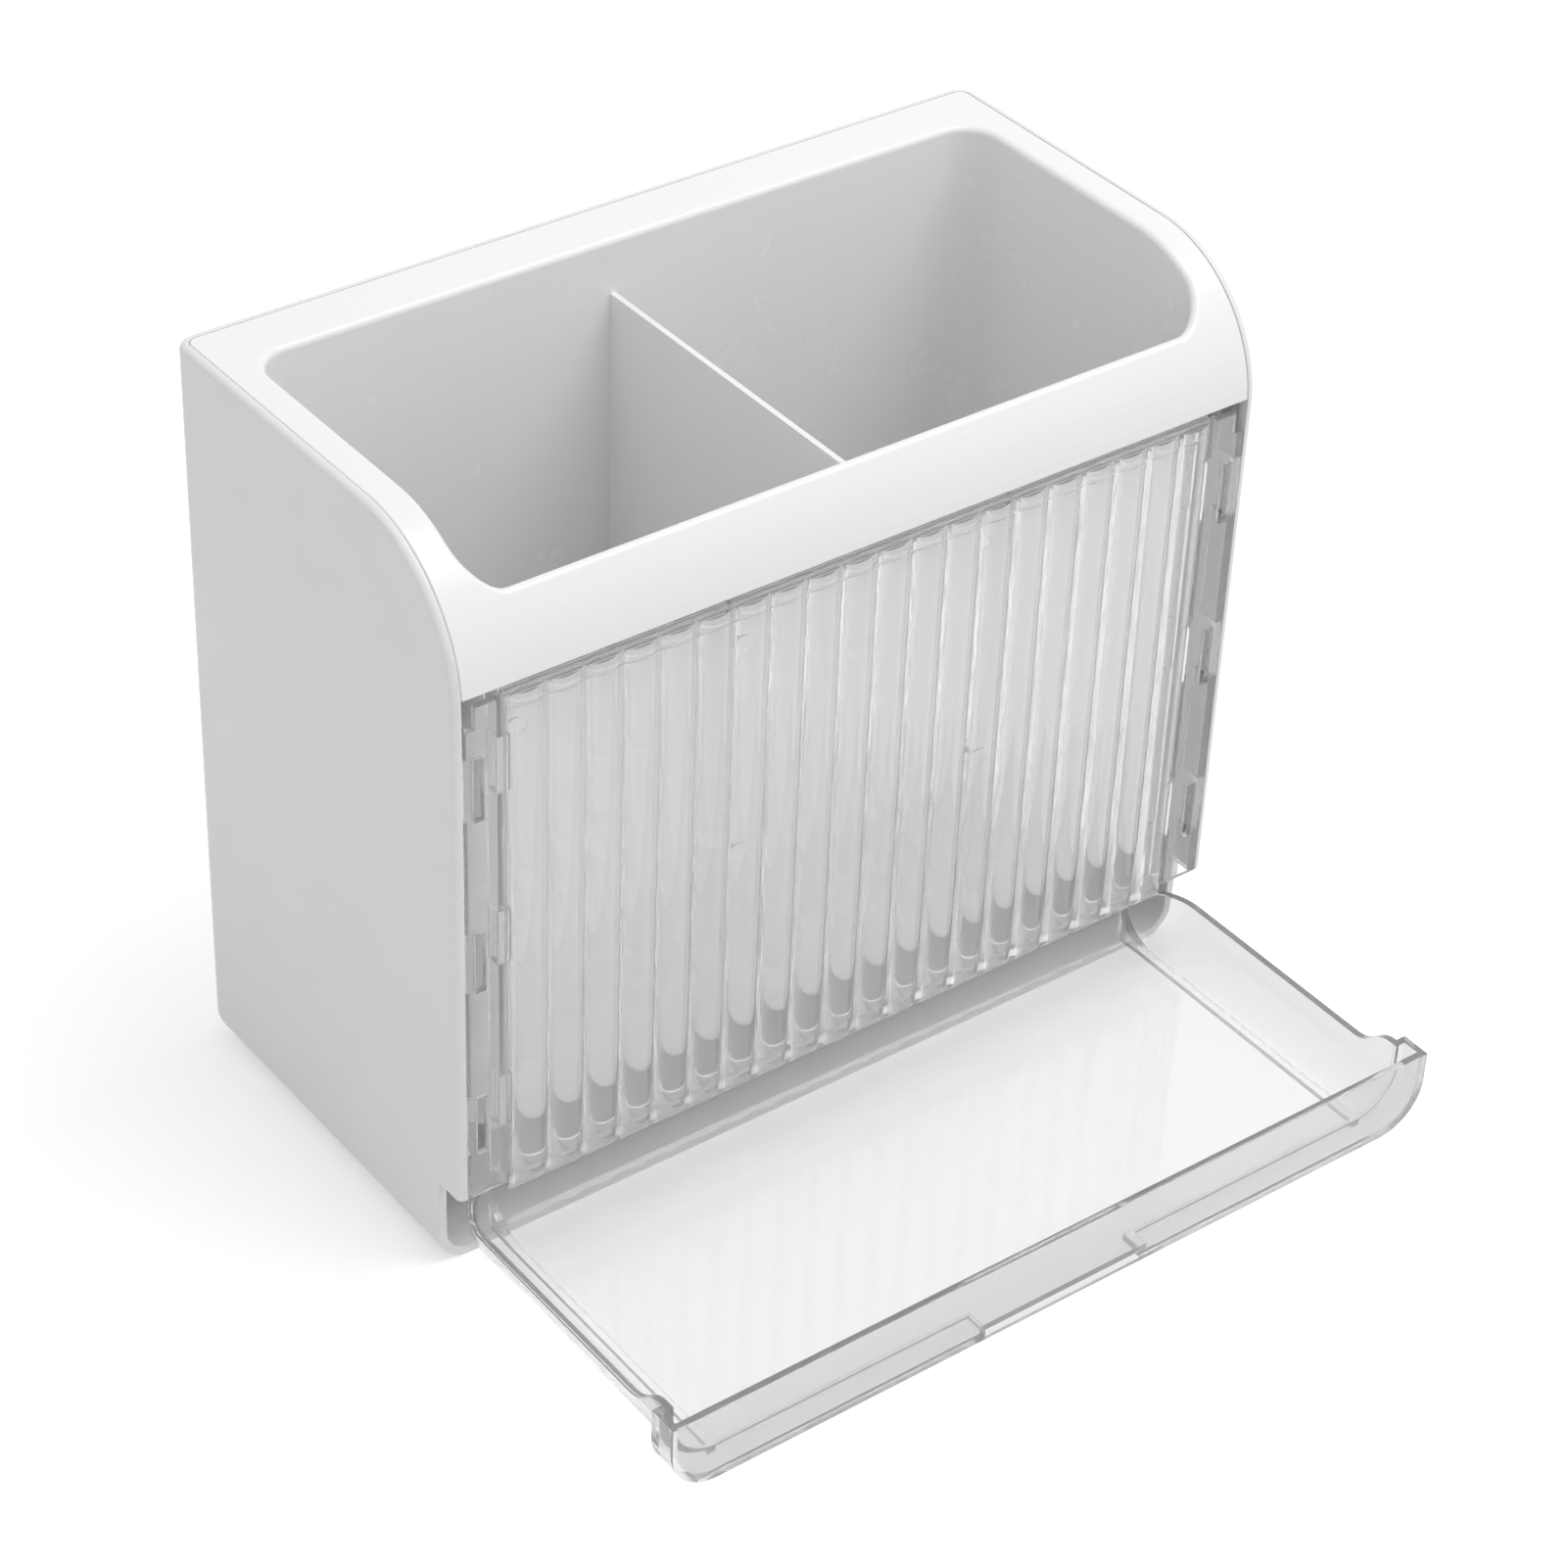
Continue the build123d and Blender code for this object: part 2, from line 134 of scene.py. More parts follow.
class HolderSizes(bpy.types.PropertyGroup):
    """Sizes of the clear front and of the moulded edges."""

    flute_count: IntProperty(name="Flutes", description="Flutes across the window", default=20, min=2)
    flute_depth: length("Flute depth", "How far each flute swings to the front", 1.6 * MM)
    valley_radius: length("Valley radius", "Radius of the rounded valleys between the flutes", 1.0 * MM)
    plate: length("Plate", "Thickness of the window behind its flutes", 1.7 * MM)
    tab_reach: length("Tab reach", "How far the snap tabs stand out from the fluted plate", 1.8 * MM)
    tab_plate: length("Tab thickness", "Thickness of the snap tabs", 1.2 * MM)
    tab_gap: length("Tab gap", "How far the snap tabs stand behind the window's back", 0.2 * MM)
    tab_root: length("Tab root", "Width of the root that carries each snap tab", 2.0 * MM)
    rib_width: length("Rib width", "Width of the ribs between the groups of flutes", 1.6 * MM)
    rib_flutes: IntProperty(name="Middle group", description="Flutes between the two ribs", default=8, min=1)
    rib_lift: length("Rib lift", "Height of the ribs' lower ends above the bottom of the window", 10.3 * MM)
    ledge_drop: length("Ledge drop", "Distance of the ledge from the top of the window", 4.3 * MM)
    ledge_height: length("Ledge height", "Height of the ledge across the back", 0.8 * MM)
    ledge_depth: length("Ledge depth", "How far the ledge stands out at the back", 1.0 * MM)
    tab_height: length("Tab height", "Height of each snap tab", 16.4 * MM)
    tab_pitch: length("Tab pitch", "Distance from one snap tab to the next", 52.5 * MM)
    tab_top: length("Top tab", "Distance of the upper tab's top from the top of the window", 12.2 * MM)
    pin_radius: length("Pin mark", "Radius of the ejector pin marks", 2.4 * MM)
    casing_edge: length("Casing edge", "Radius on the sharp edges of the white pieces", 0.35 * MM)
    clear_edge: length("Clear edge", "Radius on the sharp edges of the clear pieces", 0.2 * MM)


class HolderFinishes(bpy.types.PropertyGroup):
    """Colours and gloss of the plastics."""

    casing: colour("Casing", "Satin white of the casing", (0.86, 0.86, 0.86))
    bin: colour("Bin", "Glossy white of the bin", (0.93, 0.93, 0.93))
    clear: colour("Clear plastic", "Tint of the clear front", (0.98, 0.98, 0.98))
    tray: colour("Tray plastic", "Tint of the clear tray", (0.82, 0.82, 0.82))
    clarity: share("Clarity", "How much light the clear plastic lets through unscattered", 0.86)
    window_bend: ratio("Window refraction", "Index of refraction of the window", 1.57)
    soft_bend: ratio("Soft refraction", "Index of refraction of the frame and the tray", 1.4)
    shade: colour("Clear shade", "How much lamp light passes each face of the front", (1.0, 1.0, 1.0))
    tray_shade: colour("Tray shade", "How much lamp light passes each face of the tray", (0.93, 0.93, 0.93))
    hook: colour("Hooks", "White of the wall hooks", (0.78, 0.78, 0.78))
    foam: colour("Adhesive foam", "Off-white of the adhesive pads", (0.70, 0.69, 0.66))
    casing_roughness: share("Casing roughness", "Roughness of the satin casing", 0.42)
    bin_roughness: share("Bin roughness", "Roughness of the polished bin", 0.24)
    clear_roughness: share("Clear roughness", "Roughness of the clear plastic", 0.03)


class HolderStudio(bpy.types.PropertyGroup):
    """Levels of the studio's lamps, sky and floor."""

    glow: share("Floor glow", "How far the floor is brightened where it is seen", 0.27)
    floor: colour("Floor", "Colour of the pale floor", (0.80, 0.80, 0.80))
    sky: FloatProperty(name="Sky", description="Level of the light from all around", default=0.64, min=0)
    key: FloatProperty(name="Key", description="Power of the softbox overhead", default=11.5, min=0)
    front: FloatProperty(name="Front", description="Power of the softbox in front", default=0.3, min=0)


class Nodes:
    """A node tree under construction."""

    def __init__(self, tree):
        self.tree = tree

    def add(self, kind, inputs=None, **settings):
        """A node with its settings and inputs. An input is a value or another node's output."""
        node = self.tree.nodes.new(kind)
        for name, value in settings.items():
            setattr(node, name, value)
        for key, value in (inputs or {}).items():
            socket = node.inputs[key]
            if isinstance(value, bpy.types.NodeSocket):
                self.tree.links.new(value, socket)
            else:
                socket.default_value = value
        return node

    def math(self, operation, *values):
        """The result of a sum on numbers."""
        return self.add("ShaderNodeMath", dict(enumerate(values)), operation=operation).outputs[0]


class Shape(Nodes):
    """A Geometry Nodes tree with named inputs, which ends in a material."""

    def __init__(self, name):
        super().__init__(bpy.data.node_groups.new(name, "GeometryNodeTree"))
        self.tree.is_modifier = True
        self.tree.interface.new_socket("Geometry", in_out="INPUT", socket_type="NodeSocketGeometry")
        self.tree.interface.new_socket("Geometry", in_out="OUTPUT", socket_type="NodeSocketGeometry")
        self.entry = self.tree.nodes.new("NodeGroupInput")
        self.material = self.socket("Material", "NodeSocketMaterial")

    def socket(self, name, kind="NodeSocketFloat"):
        """A named input of the tree."""
        self.tree.interface.new_socket(name, in_out="INPUT", socket_type=kind)
        return self.entry.outputs[name]

    def joined(self, x=0.0, y=0.0, z=0.0):
        """A vector from three numbers."""
        return self.add("ShaderNodeCombineXYZ", {"X": x, "Y": y, "Z": z}).outputs[0]

    def block(self, size, place):
        """A box of a size at a place."""
        cube = self.add("GeometryNodeMeshCube", {"Size": size}).outputs["Mesh"]
        return self.add("GeometryNodeTransform", {"Geometry": cube, "Translation": place}).outputs[0]

    def repeated(self, points, piece):
        """A piece put at each point, as real geometry."""
        placed = self.add("GeometryNodeInstanceOnPoints", {"Points": points, "Instance": piece})
        return self.add("GeometryNodeRealizeInstances", {"Geometry": placed.outputs[0]}).outputs[0]

    def ladder(self, spread, pitch, y, z, size):
        """A box three times over in each of two columns."""
        grid = self.add(
            "GeometryNodeMeshGrid",
            {"Size X": spread, "Size Y": self.math("MULTIPLY", pitch, 2), "Vertices X": 2, "Vertices Y": 3},
        ).outputs["Mesh"]
        stood = self.add(
            "GeometryNodeTransform",
            {"Geometry": grid, "Rotation": (math.pi / 2, 0.0, 0.0), "Translation": self.joined(0.0, y, z)},
        ).outputs[0]
        box = self.add("GeometryNodeMeshCube", {"Size": size})
        return self.repeated(stood, box.outputs["Mesh"])

    def flute_fall(self, out, pitch, depth, valley):
        """How far a flute's face lies back at a distance out from its middle: an arc, then a round valley."""
        half = self.math("MULTIPLY", pitch, 0.5)
        squares = self.math("ADD", self.math("POWER", half, 2), self.math("POWER", depth, 2))
        reach = self.math("DIVIDE", squares, self.math("MULTIPLY", depth, 2))
        radius = self.math("SUBTRACT", reach, valley)
        start = self.math("DIVIDE", self.math("MULTIPLY", half, radius), reach)
        arc = self.math("SUBTRACT", radius, self.leg(radius, out))
        past = self.math("SUBTRACT", half, self.math("ABSOLUTE", out))
        hollow = self.math("ADD", self.math("SUBTRACT", depth, valley), self.leg(valley, past))
        inside = self.math("LESS_THAN", self.math("ABSOLUTE", out), start)
        step = self.math("MULTIPLY", inside, self.math("SUBTRACT", arc, hollow))
        return self.math("ADD", hollow, step)

    def leg(self, long, short):
        """The other leg of a right triangle."""
        rest = self.math("SUBTRACT", self.math("POWER", long, 2), self.math("POWER", short, 2))
        return self.math("SQRT", rest)

    def finish(self, geometry):
        """Ends the tree: real geometry with its material."""
        real = self.add("GeometryNodeRealizeInstances", {"Geometry": geometry}).outputs[0]
        painted = self.add("GeometryNodeSetMaterial", {"Geometry": real, "Material": self.material})
        end = self.tree.nodes.new("NodeGroupOutput")
        self.tree.links.new(painted.outputs[0], end.inputs[0])


def linked(name, mesh):
    """A new object of the scene."""
    piece = bpy.data.objects.new(name, mesh)
    bpy.context.scene.collection.objects.link(piece)
    return piece


def baked(piece):
    """Turns a piece with modifiers into a plain mesh."""
    graph = bpy.context.evaluated_depsgraph_get()
    mesh = bpy.data.meshes.new_from_object(piece.evaluated_get(graph), depsgraph=graph)
    piece.modifiers.clear()
    old = piece.data
    piece.data = mesh
    bpy.data.meshes.remove(old)
    mesh.name = piece.name
    return piece


def grown(name, tree, values, points=()):
    """A piece made by a Geometry Nodes tree, on a mesh of loose points."""
    mesh = bpy.data.meshes.new(name)
    mesh.from_pydata(list(points), [], [])
    piece = linked(name, mesh)
    modifier = piece.modifiers.new("Shape", "NODES")
    modifier.node_group = tree
    sockets = {s.name: s.identifier for s in tree.interface.items_tree if s.in_out == "INPUT"}
    for key, value in values.items():
        modifier[sockets[key]] = value
    return baked(piece)


def rounded(piece, radius):
    """Rounds the sharp edges of a piece as a mould leaves them, and shades the rest smooth."""
    mesh = piece.data
    mesh.shade_smooth()
    mesh.set_sharp_from_angle(angle=SHARP_ANGLE)
    bevel = piece.modifiers.new("Edges", "BEVEL")
    bevel.width = radius
    bevel.segments = EDGE_STEPS
    bevel.limit_method = "ANGLE"
    bevel.angle_limit = SHARP_ANGLE
    bevel.miter_outer = "MITER_ARC"
    bevel.use_clamp_overlap = True
    weighted = piece.modifiers.new("Normals", "WEIGHTED_NORMAL")
    weighted.weight = NORMAL_WEIGHT
    weighted.keep_sharp = True
    return baked(piece)


def moulded(node, name, radius):
    """A merged copy of a CAD node with rounded edges, in place of the node."""
    work = bmesh.new()
    work.from_mesh(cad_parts[node].data)
    bmesh.ops.remove_doubles(work, verts=work.verts, dist=WELD)
    bmesh.ops.dissolve_limit(work, angle_limit=FLAT_ANGLE, verts=work.verts, edges=work.edges)
    bmesh.ops.connect_verts_concave(work, faces=work.faces)
    mesh = bpy.data.meshes.new(name)
    work.to_mesh(mesh)
    work.free()
    return rounded(linked(name, mesh), radius)


def installed(piece, material, body, slot, *nodes):
    """Gives a piece its material and its body, in place of CAD nodes. The slot argument is not used."""
    piece.data.materials.clear()
    piece.data.materials.append(material)
    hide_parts(*nodes)
    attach(piece, body)


class Finish(Nodes):
    """A material under construction, around one Principled shader."""

    def __init__(self, name, color, roughness):
        self.made = bpy.data.materials.new(name)
        self.made.use_nodes = True
        self.made.node_tree.nodes.clear()
        super().__init__(self.made.node_tree)
        self.place = self.add("ShaderNodeTexCoord").outputs["Object"]
        self.color = (*color, 1.0)
        self.surface = self.add(
            "ShaderNodeBsdfPrincipled", {"Base Color": self.color, "Roughness": roughness, "IOR": 1.5}
        )
        self.end = self.add("ShaderNodeOutputMaterial", {"Surface": self.surface.outputs[0]})

    def noise(self, scale, detail=3.0):
        """Soft noise over the surface."""
        node = self.add("ShaderNodeTexNoise", {"Vector": self.place, "Scale": scale, "Detail": detail})
        return node.outputs[0]

    def ranged(self, value, low, high, start=0.35, end=0.65):
        """A value brought from one range into another."""
        node = self.add(
            "ShaderNodeMapRange",
            {"Value": value, "From Min": start, "From Max": end, "To Min": low, "To Max": high},
        )
        return node.outputs[0]

    def blend(self, factor, first, second):
        """Two colours mixed by a factor."""
        node = self.add("ShaderNodeMix", data_type="RGBA")
        for index, value in ((0, factor), (6, first), (7, second)):
            if isinstance(value, bpy.types.NodeSocket):
                self.tree.links.new(value, node.inputs[index])
            else:
                node.inputs[index].default_value = value
        return node.outputs[2]

    def bump(self, height, depth, strength=1.0):
        """Relief of a depth in metres."""
        node = self.add("ShaderNodeBump", {"Height": height, "Distance": depth, "Strength": strength})
        self.tree.links.new(node.outputs[0], self.surface.inputs["Normal"])

    def set(self, key, value):
        """Links a value to a socket of the surface."""
        self.tree.links.new(value, self.surface.inputs[key])


def scaled(color, factor):
    """A colour made lighter or darker."""
    return (*(c * factor for c in color[:3]), 1.0)


def satin_white(name, color, roughness):
    """Satin moulded plastic with a fine eroded grain."""
    finish = Finish(name, color, roughness)
    cloud = finish.ranged(finish.noise(CLOUD_SCALE, 2.0), 0.0, 1.0)
    finish.set("Base Color", finish.blend(cloud, scaled(color, CLOUD_SHADE), finish.color))
    gloss = finish.ranged(finish.noise(SATIN_SCALE), roughness - SATIN_SPREAD, roughness + SATIN_SPREAD)
    finish.set("Roughness", gloss)
    finish.bump(finish.noise(GRAIN_SCALE, 2.0), GRAIN_DEPTH, 0.5)
    return finish.made


def polished_white(name, color, roughness):
    """Polished moulded plastic with faint flow ripples and a few specks of dust."""
    finish = Finish(name, color, roughness)
    cells = finish.add("ShaderNodeTexVoronoi", {"Vector": finish.place, "Scale": DUST_SCALE}, feature="F1")
    dust = finish.ranged(cells.outputs["Distance"], DUST_STRENGTH, 0.0, 0.0, DUST_RADIUS)
    rare = finish.ranged(finish.noise(16.0, 1.0), 0.0, 1.0, 0.60, 0.64)
    speck = finish.math("MULTIPLY", dust, rare)
    finish.set("Base Color", finish.blend(speck, finish.color, DUST_COLOUR))
    finish.set("Roughness", finish.ranged(finish.noise(40.0), roughness - 0.03, roughness + 0.04))
    finish.bump(finish.noise(BIN_RIPPLE_SCALE, 1.0), BIN_RIPPLE_DEPTH, 0.25)
    return finish.made


def clear(name, look, color, shade, bend, ripple):
    """Clear polystyrene with soft flow ripples. Lamp rays pass through it, a little shaded."""
    roughness = look.clear_roughness
    finish = Finish(name, color, roughness)
    finish.surface.inputs["Transmission Weight"].default_value = look.clarity
    finish.surface.inputs["IOR"].default_value = bend
    finish.set("Roughness", finish.ranged(finish.noise(30.0), roughness * 0.6, roughness * 1.5))
    finish.bump(finish.noise(CLEAR_RIPPLE_SCALE, 1.0), ripple, 0.3)
    lamp = finish.add("ShaderNodeLightPath").outputs["Is Shadow Ray"]
    through = finish.add("ShaderNodeBsdfTransparent", {"Color": (*shade, 1.0)})
    mixed = finish.add("ShaderNodeMixShader", {0: lamp, 1: finish.surface.outputs[0], 2: through.outputs[0]})
    finish.tree.links.new(mixed.outputs[0], finish.end.inputs["Surface"])
    return finish.made


def foam(name, color):
    """Closed-cell foam tape."""
    finish = Finish(name, color, 0.8)
    cells = finish.add("ShaderNodeTexVoronoi", {"Vector": finish.place, "Scale": FOAM_CELL_SCALE}, feature="F1")
    finish.bump(cells.outputs["Distance"], FOAM_CELL_DEPTH, 0.6)
    cloud = finish.ranged(finish.noise(120.0), 0.0, 1.0)
    finish.set("Base Color", finish.blend(cloud, scaled(color, FOAM_SHADE), finish.color))
    return finish.made


def window_tree():
    """The fluted plate with its ribs, snap tabs and ejector pin marks, as one solid."""
    shape = Shape("fluted window")
    width = shape.socket("Width")
    low = shape.socket("Low")
    high = shape.socket("High")
    front = shape.socket("Front")
    back = shape.socket("Back")
    count = shape.socket("Flutes", "NodeSocketInt")
    depth = shape.socket("Flute Depth")
    valley = shape.socket("Valley Radius")
    plate = shape.socket("Plate")
    rib_width = shape.socket("Rib Width")
    middle = shape.socket("Middle Flutes", "NodeSocketInt")
    tab_reach = shape.socket("Tab Reach")
    tab_plate = shape.socket("Tab Plate")
    tab_gap = shape.socket("Tab Gap")
    tab_root = shape.socket("Tab Root")
    rib_lift = shape.socket("Rib Lift")
    ledge_drop = shape.socket("Ledge Drop")
    ledge_height = shape.socket("Ledge Height")
    ledge_depth = shape.socket("Ledge Depth")
    tab_height = shape.socket("Tab Height")
    tab_pitch = shape.socket("Tab Pitch")
    tab_drop = shape.socket("Tab Drop")
    pin_radius = shape.socket("Pin Radius")
    entry = shape.entry.outputs["Geometry"]

    height = shape.math("SUBTRACT", high, low)
    centre = shape.math("MULTIPLY", shape.math("ADD", high, low), 0.5)
    thick = shape.math("ADD", plate, depth)
    pitch = shape.math("DIVIDE", width, count)
    back_line = shape.math("ADD", front, thick)

    bars = shape.add(
        "GeometryNodeMeshCube",
        {
            "Size": shape.joined(width, thick, height),
            "Vertices X": shape.math("ADD", shape.math("MULTIPLY", count, FLUTE_STEPS), 1),
            "Vertices Y": 2,
            "Vertices Z": 2,
        },
    ).outputs["Mesh"]
    split = shape.add("ShaderNodeSeparateXYZ", {0: shape.add("GeometryNodeInputPosition").outputs[0]})
    half_count = shape.math("DIVIDE", count, 2)
    across = shape.math("ADD", shape.math("DIVIDE", split.outputs["X"], pitch), half_count)
    turn = shape.math("MULTIPLY", shape.math("SUBTRACT", shape.math("FRACT", across), 0.5), math.pi)
    out = shape.math("MULTIPLY", shape.math("SINE", turn), shape.math("MULTIPLY", pitch, 0.5))
    shift = shape.math("SUBTRACT", out, shape.math("MULTIPLY", turn, shape.math("DIVIDE", pitch, math.pi)))
    fall = shape.flute_fall(out, pitch, depth, valley)
    before = shape.math("LESS_THAN", split.outputs["Y"], 0.0)
    fluted = shape.add(
        "GeometryNodeSetPosition",
        {"Geometry": bars, "Offset": shape.joined(shift, shape.math("MULTIPLY", fall, before), 0.0)},
    ).outputs[0]
    middle_y = shape.math("ADD", front, shape.math("MULTIPLY", thick, 0.5))
    window = shape.add(
        "GeometryNodeTransform", {"Geometry": fluted, "Translation": shape.joined(0.0, middle_y, centre)}
    ).outputs[0]

    root_front = shape.math("SUBTRACT", back_line, shape.math("MULTIPLY", plate, 0.5))
    rib_x = shape.math("MULTIPLY", shape.math("MULTIPLY", pitch, middle), 0.5)
    rib_tall = shape.math("SUBTRACT", height, rib_lift)
    rib_z = shape.math("SUBTRACT", high, shape.math("MULTIPLY", rib_tall, 0.5))
    rib_y = shape.math("MULTIPLY", shape.math("ADD", back, root_front), 0.5)
    rib_start = shape.joined(shape.math("MULTIPLY", rib_x, -1.0), rib_y, rib_z)
    rib_step = shape.joined(shape.math("MULTIPLY", rib_x, 2.0), 0.0, 0.0)
    rib_row = shape.add("GeometryNodeMeshLine", {"Count": 2, "Start Location": rib_start, "Offset": rib_step})
    rib_size = shape.joined(rib_width, shape.math("SUBTRACT", back, root_front), rib_tall)
    rib = shape.add("GeometryNodeMeshCube", {"Size": rib_size})
    ribs = shape.repeated(rib_row.outputs[0], rib.outputs["Mesh"])

    ledge_deep = shape.math("ADD", ledge_depth, shape.math("MULTIPLY", plate, 0.5))
    ledge_y = shape.math("ADD", root_front, shape.math("MULTIPLY", ledge_deep, 0.5))
    ledge_down = shape.math("ADD", ledge_drop, shape.math("MULTIPLY", ledge_height, 0.5))
    ledge_z = shape.math("SUBTRACT", high, ledge_down)
    ledge = shape.block(shape.joined(width, ledge_deep, ledge_height), shape.joined(0.0, ledge_y, ledge_z))

    root_deep = shape.math("ADD", shape.math("MULTIPLY", plate, 0.5), shape.math("ADD", tab_gap, tab_plate))
    root_y = shape.math("ADD", root_front, shape.math("MULTIPLY", root_deep, 0.5))
    tab_front = shape.math("ADD", back_line, tab_gap)
    tab_y = shape.math("ADD", tab_front, shape.math("MULTIPLY", tab_plate, 0.5))
    tab_down = shape.math("ADD", tab_pitch, shape.math("MULTIPLY", tab_height, 0.5))
    tab_z = shape.math("SUBTRACT", high, shape.math("ADD", tab_drop, tab_down))
    root_x = shape.math("SUBTRACT", width, tab_root)
    tab_wide = shape.math("ADD", tab_reach, tab_root)
    roots = shape.ladder(root_x, tab_pitch, root_y, tab_z, shape.joined(tab_root, root_deep, tab_height))
    tab_x = shape.math("ADD", root_x, tab_reach)
    tabs = shape.ladder(tab_x, tab_pitch, tab_y, tab_z, shape.joined(tab_wide, tab_plate, tab_height))

    disc = shape.add(
        "GeometryNodeMeshCylinder", {"Vertices": PIN_SIDES, "Radius": pin_radius, "Depth": PIN_RELIEF}
    ).outputs["Mesh"]
    turned = shape.add(
        "GeometryNodeTransform", {"Geometry": disc, "Rotation": (math.pi / 2, 0.0, 0.0)}
    ).outputs[0]
    pins = shape.repeated(entry, turned)

    union = shape.add("GeometryNodeMeshBoolean", operation="UNION", solver="EXACT")
    for solid in (pins, tabs, roots, ledge, ribs, window):
        shape.tree.links.new(solid, union.inputs["Mesh 2"])
    bevel = shape.math("MULTIPLY", depth, math.sqrt(2))
    bar_size = shape.joined(shape.math("MULTIPLY", width, 2), bevel, bevel)
    bar = shape.add("GeometryNodeMeshCube", {"Size": bar_size}).outputs["Mesh"]
    corner = shape.joined(0.0, front, low)
    slope = shape.add(
        "GeometryNodeTransform", {"Geometry": bar, "Rotation": (math.pi / 4, 0.0, 0.0), "Translation": corner}
    ).outputs[0]
    whole = {"Mesh 1": union.outputs[0]}
    cut = shape.add("GeometryNodeMeshBoolean", whole, operation="DIFFERENCE", solver="EXACT")
    shape.tree.links.new(slope, cut.inputs["Mesh 2"])
    shape.finish(cut.outputs[0])
    return shape.tree


class StepOperator:
    """What all steps of the build share."""

    bl_options = {"REGISTER", "UNDO"}

    @property
    def sizes(self):
        return bpy.context.scene.holder_sizes

    @property
    def finishes(self):
        return bpy.context.scene.holder_finishes


class HOLDER_OT_casing(StepOperator, bpy.types.Operator):
    """Make the satin white casing"""

    bl_idname = "holder.casing"
    bl_label = "Casing"

    def execute(self, context):
        look = self.finishes
        piece = moulded("outer_shell", "casing", self.sizes.casing_edge)
        material = satin_white("casing_white", look.casing, look.casing_roughness)
        installed(piece, material, "casing", "casing_white", "outer_shell")
        return {"FINISHED"}


class HOLDER_OT_bin(StepOperator, bpy.types.Operator):
    """Make the polished white bin with its divider"""

    bl_idname = "holder.bin"
    bl_label = "Bin"

    def execute(self, context):
        look = self.finishes
        piece = moulded("utensil_bin", "bin_with_divider", self.sizes.casing_edge)
        material = polished_white("bin_white", look.bin, look.bin_roughness)
        installed(piece, material, "bin", "bin_white", "utensil_bin")
        return {"FINISHED"}


class HOLDER_OT_front_frame(StepOperator, bpy.types.Operator):
    """Make the clear frame with its snap windows"""

    bl_idname = "holder.front_frame"
    bl_label = "Clear frame"

    def execute(self, context):
        look = self.finishes
        piece = moulded("front_frame", "clear_frame", self.sizes.clear_edge)
        material = clear("clear_plastic", look, look.clear, look.shade, look.soft_bend, FRONT_RIPPLE)
        installed(piece, material, "casing", "clear_plastic", "front_frame")
        return {"FINISHED"}


class HOLDER_OT_window(StepOperator, bpy.types.Operator):
    """Make the clear window with its flutes, ribs and snap tabs"""

    bl_idname = "holder.window"
    bl_label = "Fluted window"

    def execute(self, context):
        look, sizes = self.finishes, self.sizes
        back_line = WINDOW_LOW.y + sizes.flute_depth + sizes.plate
        pins = [
            (CASING_LOW.x + x * MM, back_line, FRAME_HIGH.z - drop * MM) for x, drop in WINDOW_PINS
        ]
        values = {
            "Width": WINDOW_HIGH.x - WINDOW_LOW.x - 2 * sizes.tab_reach,
            "Low": WINDOW_LOW.z,
            "High": WINDOW_HIGH.z,
            "Front": WINDOW_LOW.y,
            "Back": WINDOW_HIGH.y,
            "Flutes": sizes.flute_count,
            "Flute Depth": sizes.flute_depth,
            "Valley Radius": sizes.valley_radius,
            "Plate": sizes.plate,
            "Rib Width": sizes.rib_width,
            "Middle Flutes": sizes.rib_flutes,
            "Tab Reach": sizes.tab_reach,
            "Tab Plate": sizes.tab_plate,
            "Tab Gap": sizes.tab_gap,
            "Tab Root": sizes.tab_root,
            "Rib Lift": sizes.rib_lift,
            "Ledge Drop": sizes.ledge_drop,
            "Ledge Height": sizes.ledge_height,
            "Ledge Depth": sizes.ledge_depth,
            "Tab Height": sizes.tab_height,
            "Tab Pitch": sizes.tab_pitch,
            "Tab Drop": sizes.tab_top,
            "Pin Radius": sizes.pin_radius,
        }
        material = clear("fluted_clear_plastic", look, look.clear, look.shade, look.window_bend, FRONT_RIPPLE)
        values["Material"] = material
        piece = grown("fluted_plate", window_tree(), values, pins)
        rounded(piece, sizes.clear_edge)
        installed(piece, material, "casing", "fluted_clear_plastic", "fluted_window")
        return {"FINISHED"}


class HOLDER_OT_tray(StepOperator, bpy.types.Operator):
    """Make the clear drip tray"""

    bl_idname = "holder.tray"
    bl_label = "Drip tray"

    def execute(self, context):
        look = self.finishes
        piece = moulded("drip_tray", "clear_tray", self.sizes.clear_edge)
        material = clear("tray_clear_plastic", look, look.tray, look.tray_shade, look.soft_bend, TRAY_RIPPLE)
        installed(piece, material, "tray", "tray_clear_plastic", "drip_tray")
        return {"FINISHED"}


class HOLDER_OT_hooks(StepOperator, bpy.types.Operator):
    """Make the wall hooks and their adhesive pads"""

    bl_idname = "holder.hooks"
    bl_label = "Wall hooks"

    def execute(self, context):
        look, edge = self.finishes, self.sizes.casing_edge
        plastic = satin_white("hook_plastic", look.hook, look.casing_roughness)
        tape = foam("adhesive_foam", look.foam)
        for side in ("left", "right"):
            body = f"hook_{side}"
            hook = moulded(f"wall_hook_{side}", f"hook_plate_{side}", edge)
            installed(hook, plastic, body, "hook_plastic", f"wall_hook_{side}")
            pad = moulded(f"adhesive_pad_{side}", f"foam_pad_{side}", edge / 2)
            installed(pad, tape, body, "adhesive_foam", f"adhesive_pad_{side}")
        return {"FINISHED"}


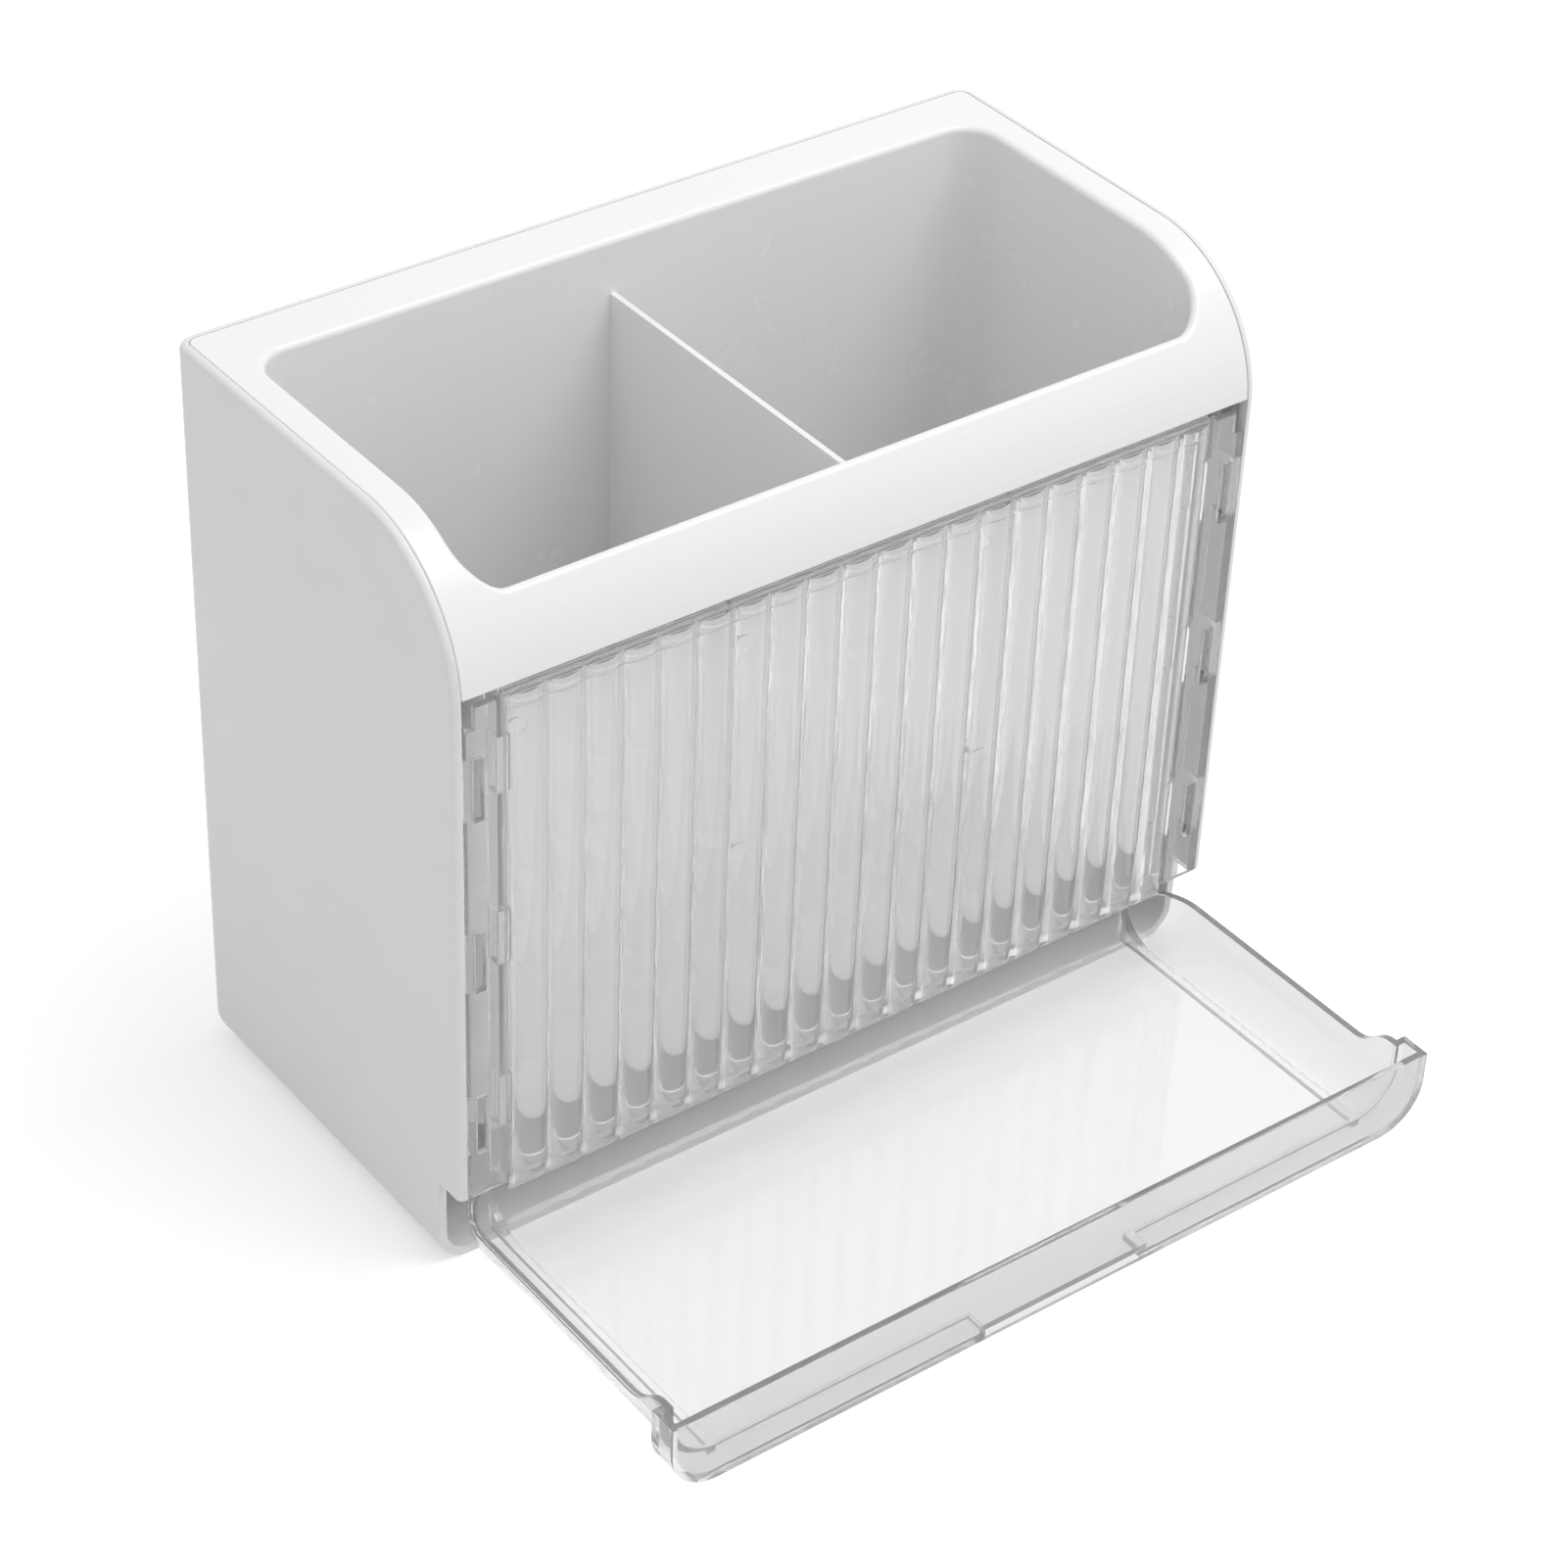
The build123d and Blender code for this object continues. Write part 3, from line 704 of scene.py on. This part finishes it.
class HOLDER_OT_stage(StepOperator, bpy.types.Operator):
    """Set up the floor, the lamps, the sky and the camera"""

    bl_idname = "holder.stage"
    bl_label = "Stage"

    def execute(self, context):
        studio = bpy.context.scene.holder_studio
        self.floor(studio)
        self.sky(studio)
        self.lamp("key", studio.key, *KEY_LAMP)
        self.lamp("front", studio.front, *FRONT_LAMP)
        self.camera()
        bpy.context.scene.view_settings.view_transform = "Standard"
        return {"FINISHED"}

    def floor(self, studio):
        mesh = bpy.data.meshes.new("floor")
        turns = ((-1, -1), (1, -1), (1, 1), (-1, 1))
        corners = [(x * FLOOR_REACH, y * FLOOR_REACH, FLOOR_LEVEL) for x, y in turns]
        mesh.from_pydata(corners, [], [(0, 1, 2, 3)])
        floor = linked("floor", mesh)
        finish = Finish("floor_paper", studio.floor, 0.9)
        path = finish.add("ShaderNodeLightPath")
        seen = finish.math("MAXIMUM", path.outputs["Is Camera Ray"], path.outputs["Is Glossy Ray"])
        seen = finish.math("MAXIMUM", seen, path.outputs["Is Transmission Ray"])
        finish.set("Base Color", finish.blend(seen, finish.color, WHITE))
        finish.surface.inputs["Specular IOR Level"].default_value = 0.0
        finish.surface.inputs["Emission Color"].default_value = WHITE
        finish.set("Emission Strength", finish.math("MULTIPLY", seen, studio.glow))
        mesh.materials.append(finish.made)

    def sky(self, studio):
        world = bpy.data.worlds.new("studio")
        bpy.context.scene.world = world
        world.use_nodes = True
        world.node_tree.nodes.clear()
        nodes = Nodes(world.node_tree)
        path = nodes.add("ShaderNodeLightPath")
        seen = nodes.math("MAXIMUM", path.outputs["Is Camera Ray"], path.outputs["Is Glossy Ray"])
        seen = nodes.math("MAXIMUM", seen, path.outputs["Is Transmission Ray"])
        level = nodes.math("MULTIPLY_ADD", seen, 1.0 - studio.sky, studio.sky)
        light = nodes.add("ShaderNodeBackground", {"Color": WHITE, "Strength": level})
        nodes.add("ShaderNodeOutputWorld", {"Surface": light.outputs[0]})

    def lamp(self, name, power, place, target, size):
        light = bpy.data.lights.new(name, "AREA")
        light.shape = "DISK"
        light.size = size
        light.energy = power
        lamp = linked(name, light)
        lamp.location = place
        lamp.rotation_euler = (Vector(target) - Vector(place)).to_track_quat("-Z", "Y").to_euler()

    def camera(self):
        view = bpy.data.cameras.new("camera")
        view.sensor_width = SENSOR
        view.lens = CAMERA_LENS
        view.clip_start = 0.01
        view.clip_end = 50
        camera = linked("camera", view)
        back = CAMERA_RIGHT.cross(CAMERA_UP)
        axes = Matrix((CAMERA_RIGHT, CAMERA_UP, back)).transposed()
        camera.matrix_world = Matrix.Translation(CAMERA_PLACE) @ axes.to_4x4()
        bpy.context.scene.camera = camera


STEPS = (
    HOLDER_OT_casing,
    HOLDER_OT_bin,
    HOLDER_OT_front_frame,
    HOLDER_OT_window,
    HOLDER_OT_tray,
    HOLDER_OT_hooks,
    HOLDER_OT_stage,
)
SETTINGS = {"holder_sizes": HolderSizes, "holder_finishes": HolderFinishes, "holder_studio": HolderStudio}


class HOLDER_PT_build(bpy.types.Panel):
    """The steps and settings of the utensil holder"""

    bl_label = "Utensil Holder"
    bl_space_type = "VIEW_3D"
    bl_region_type = "UI"
    bl_category = "Holder"

    def draw(self, context):
        for step in STEPS:
            self.layout.operator(step.bl_idname)
        for name in SETTINGS:
            settings = getattr(context.scene, name)
            box = self.layout.box()
            for key in settings.__annotations__:
                box.prop(settings, key)


def register():
    """Registers the settings, the steps and the panel."""
    for name, group in SETTINGS.items():
        bpy.utils.register_class(group)
        setattr(bpy.types.Scene, name, PointerProperty(type=group))
    for step in (*STEPS, HOLDER_PT_build):
        bpy.utils.register_class(step)


def unregister():
    """Takes them out again."""
    for step in (HOLDER_PT_build, *reversed(STEPS)):
        bpy.utils.unregister_class(step)
    for name, group in SETTINGS.items():
        delattr(bpy.types.Scene, name)
        bpy.utils.unregister_class(group)


def main():
    """Builds the holder step by step."""
    register()
    bpy.ops.holder.casing()
    bpy.ops.holder.bin()
    bpy.ops.holder.front_frame()
    bpy.ops.holder.window()
    bpy.ops.holder.tray()
    bpy.ops.holder.hooks()
    bpy.ops.holder.stage()


if __name__ == "__main__":
    main()
